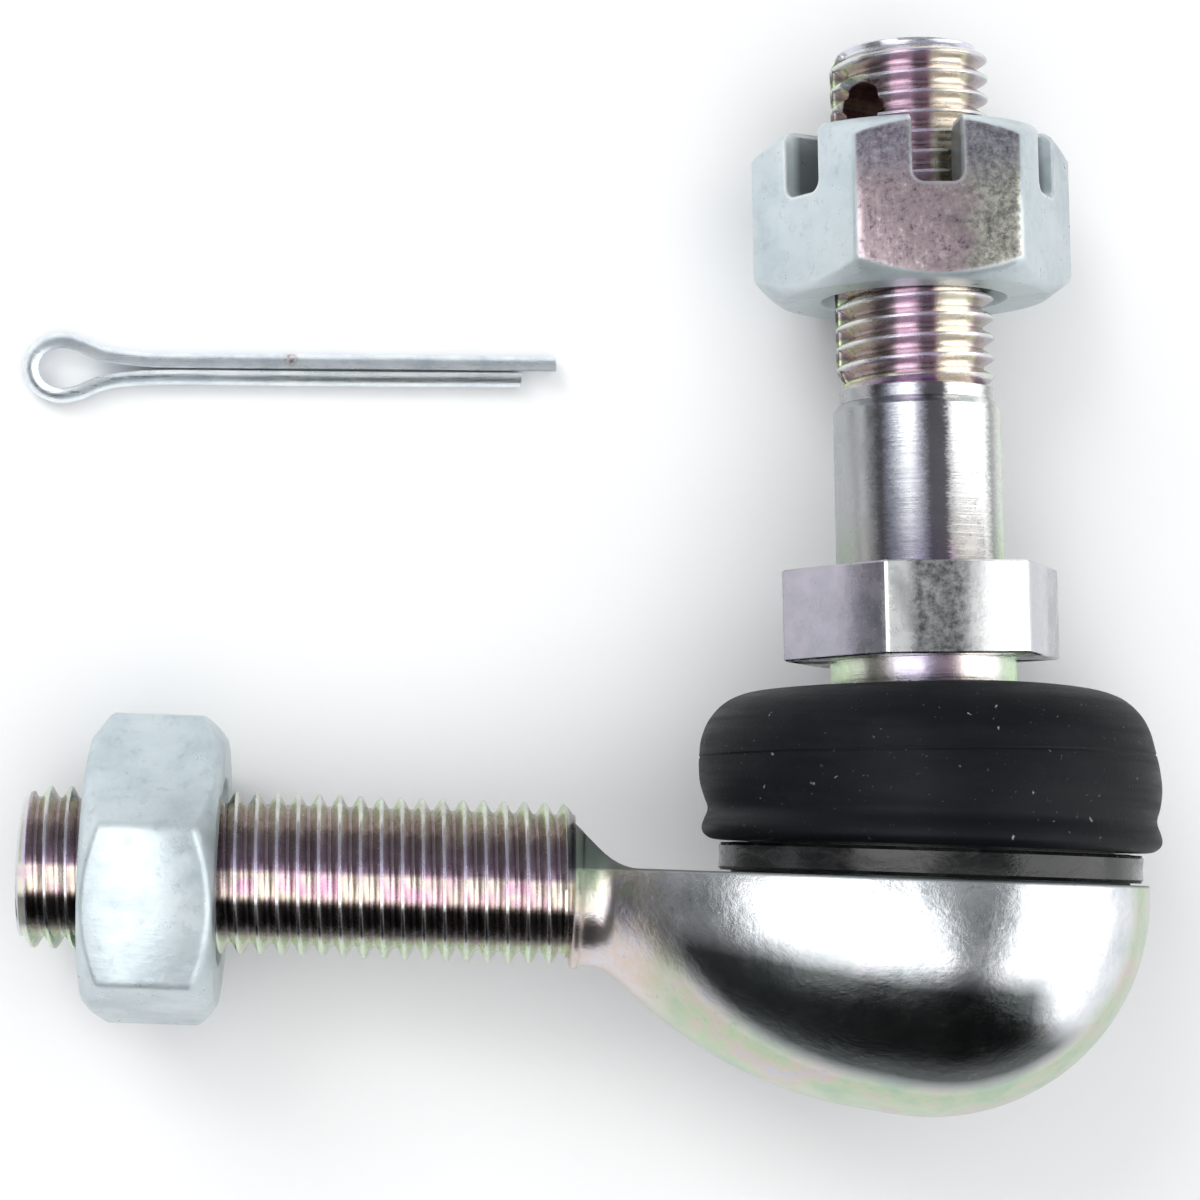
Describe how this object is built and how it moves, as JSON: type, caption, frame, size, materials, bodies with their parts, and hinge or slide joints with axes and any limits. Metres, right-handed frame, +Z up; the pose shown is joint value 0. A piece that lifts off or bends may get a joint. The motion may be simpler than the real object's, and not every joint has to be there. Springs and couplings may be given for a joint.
{
  "type": "tie rod end",
  "caption": "Ball-joint tie rod end: threaded shank, dust boot and threaded ball stud with a slotted nut, a lock nut and a split pin laid beside it.",
  "frame": {"origin": "centre of the footprint, on the bench that the part lies on", "axes": "+Z up from the bench; the stud points along +Y, leaning 7.7 degrees below level and swung 3 degrees towards the shank, and the threaded shank points along -X, leaning 7.0 degrees below level, as the part rests on its boot and both nuts"},
  "size_m": [0.0704, 0.066, 0.0285],
  "materials": {
    "plated_forging": "bright zinc plate, faint iridescence",
    "plated_stud": "turned, bright zinc plate",
    "zinc_nut": "bluish zinc plate",
    "pin_wire": "drawn, zinc plate",
    "ring_steel": "plain steel",
    "band_steel": "black, greasy",
    "seat_polymer": "moulded",
    "boot_rubber": "matte, dusty"
  },
  "bodies": {
    "housing": {"housing": "plated_forging", "lower_ball_seat": "seat_polymer", "upper_ball_seat": "seat_polymer", "retaining_ring": "ring_steel"},
    "boot": {"dust_boot": "boot_rubber", "boot_base_ring": "band_steel"},
    "boot_mouth": {"boot_seal_ring": "ring_steel"},
    "stud": {"ball_stud": "plated_stud"},
    "castle_nut": {"castle_nut": "zinc_nut"},
    "jam_nut": {"jam_nut": "zinc_nut"},
    "cotter_pin": {"cotter_pin": "pin_wire"}
  },
  "joints": [
    {"name": "swing_direction", "type": "hinge", "parent": "housing", "child": "boot", "pos_m": [0.02108, -0.01962, 0.01506], "axis": [0, 0.9919, -0.1271], "continuous": true},
    {"name": "ball_swing", "type": "hinge", "parent": "boot", "child": "boot_mouth", "pos_m": [0.02108, -0.01962, 0.01506], "axis": [-0.122, 0.1262, 0.9845], "range_deg": [-20, 20], "deforming": ["dust_boot"]},
    {"name": "stud_spin", "type": "hinge", "parent": "boot_mouth", "child": "stud", "pos_m": [0.02108, -0.01962, 0.01506], "axis": [-0.0519, 0.9897, -0.1333], "continuous": true},
    {"name": "castle_nut_turn", "type": "hinge", "parent": "stud", "child": "castle_nut", "pos_m": [0.01891, 0.02185, 0.00948], "axis": [-0.0519, 0.9897, -0.1333], "continuous": true},
    {"name": "jam_nut_turn", "type": "hinge", "parent": "housing", "child": "jam_nut", "pos_m": [-0.02577, -0.02035, 0.00935], "axis": [-0.9925, -0.0155, -0.121], "continuous": true},
    {"name": "cotter_pin_lift", "type": "slide", "parent": "housing", "child": "cotter_pin", "axis": [0, 0, 1], "range_m": [0, 0.04]}
  ]
}
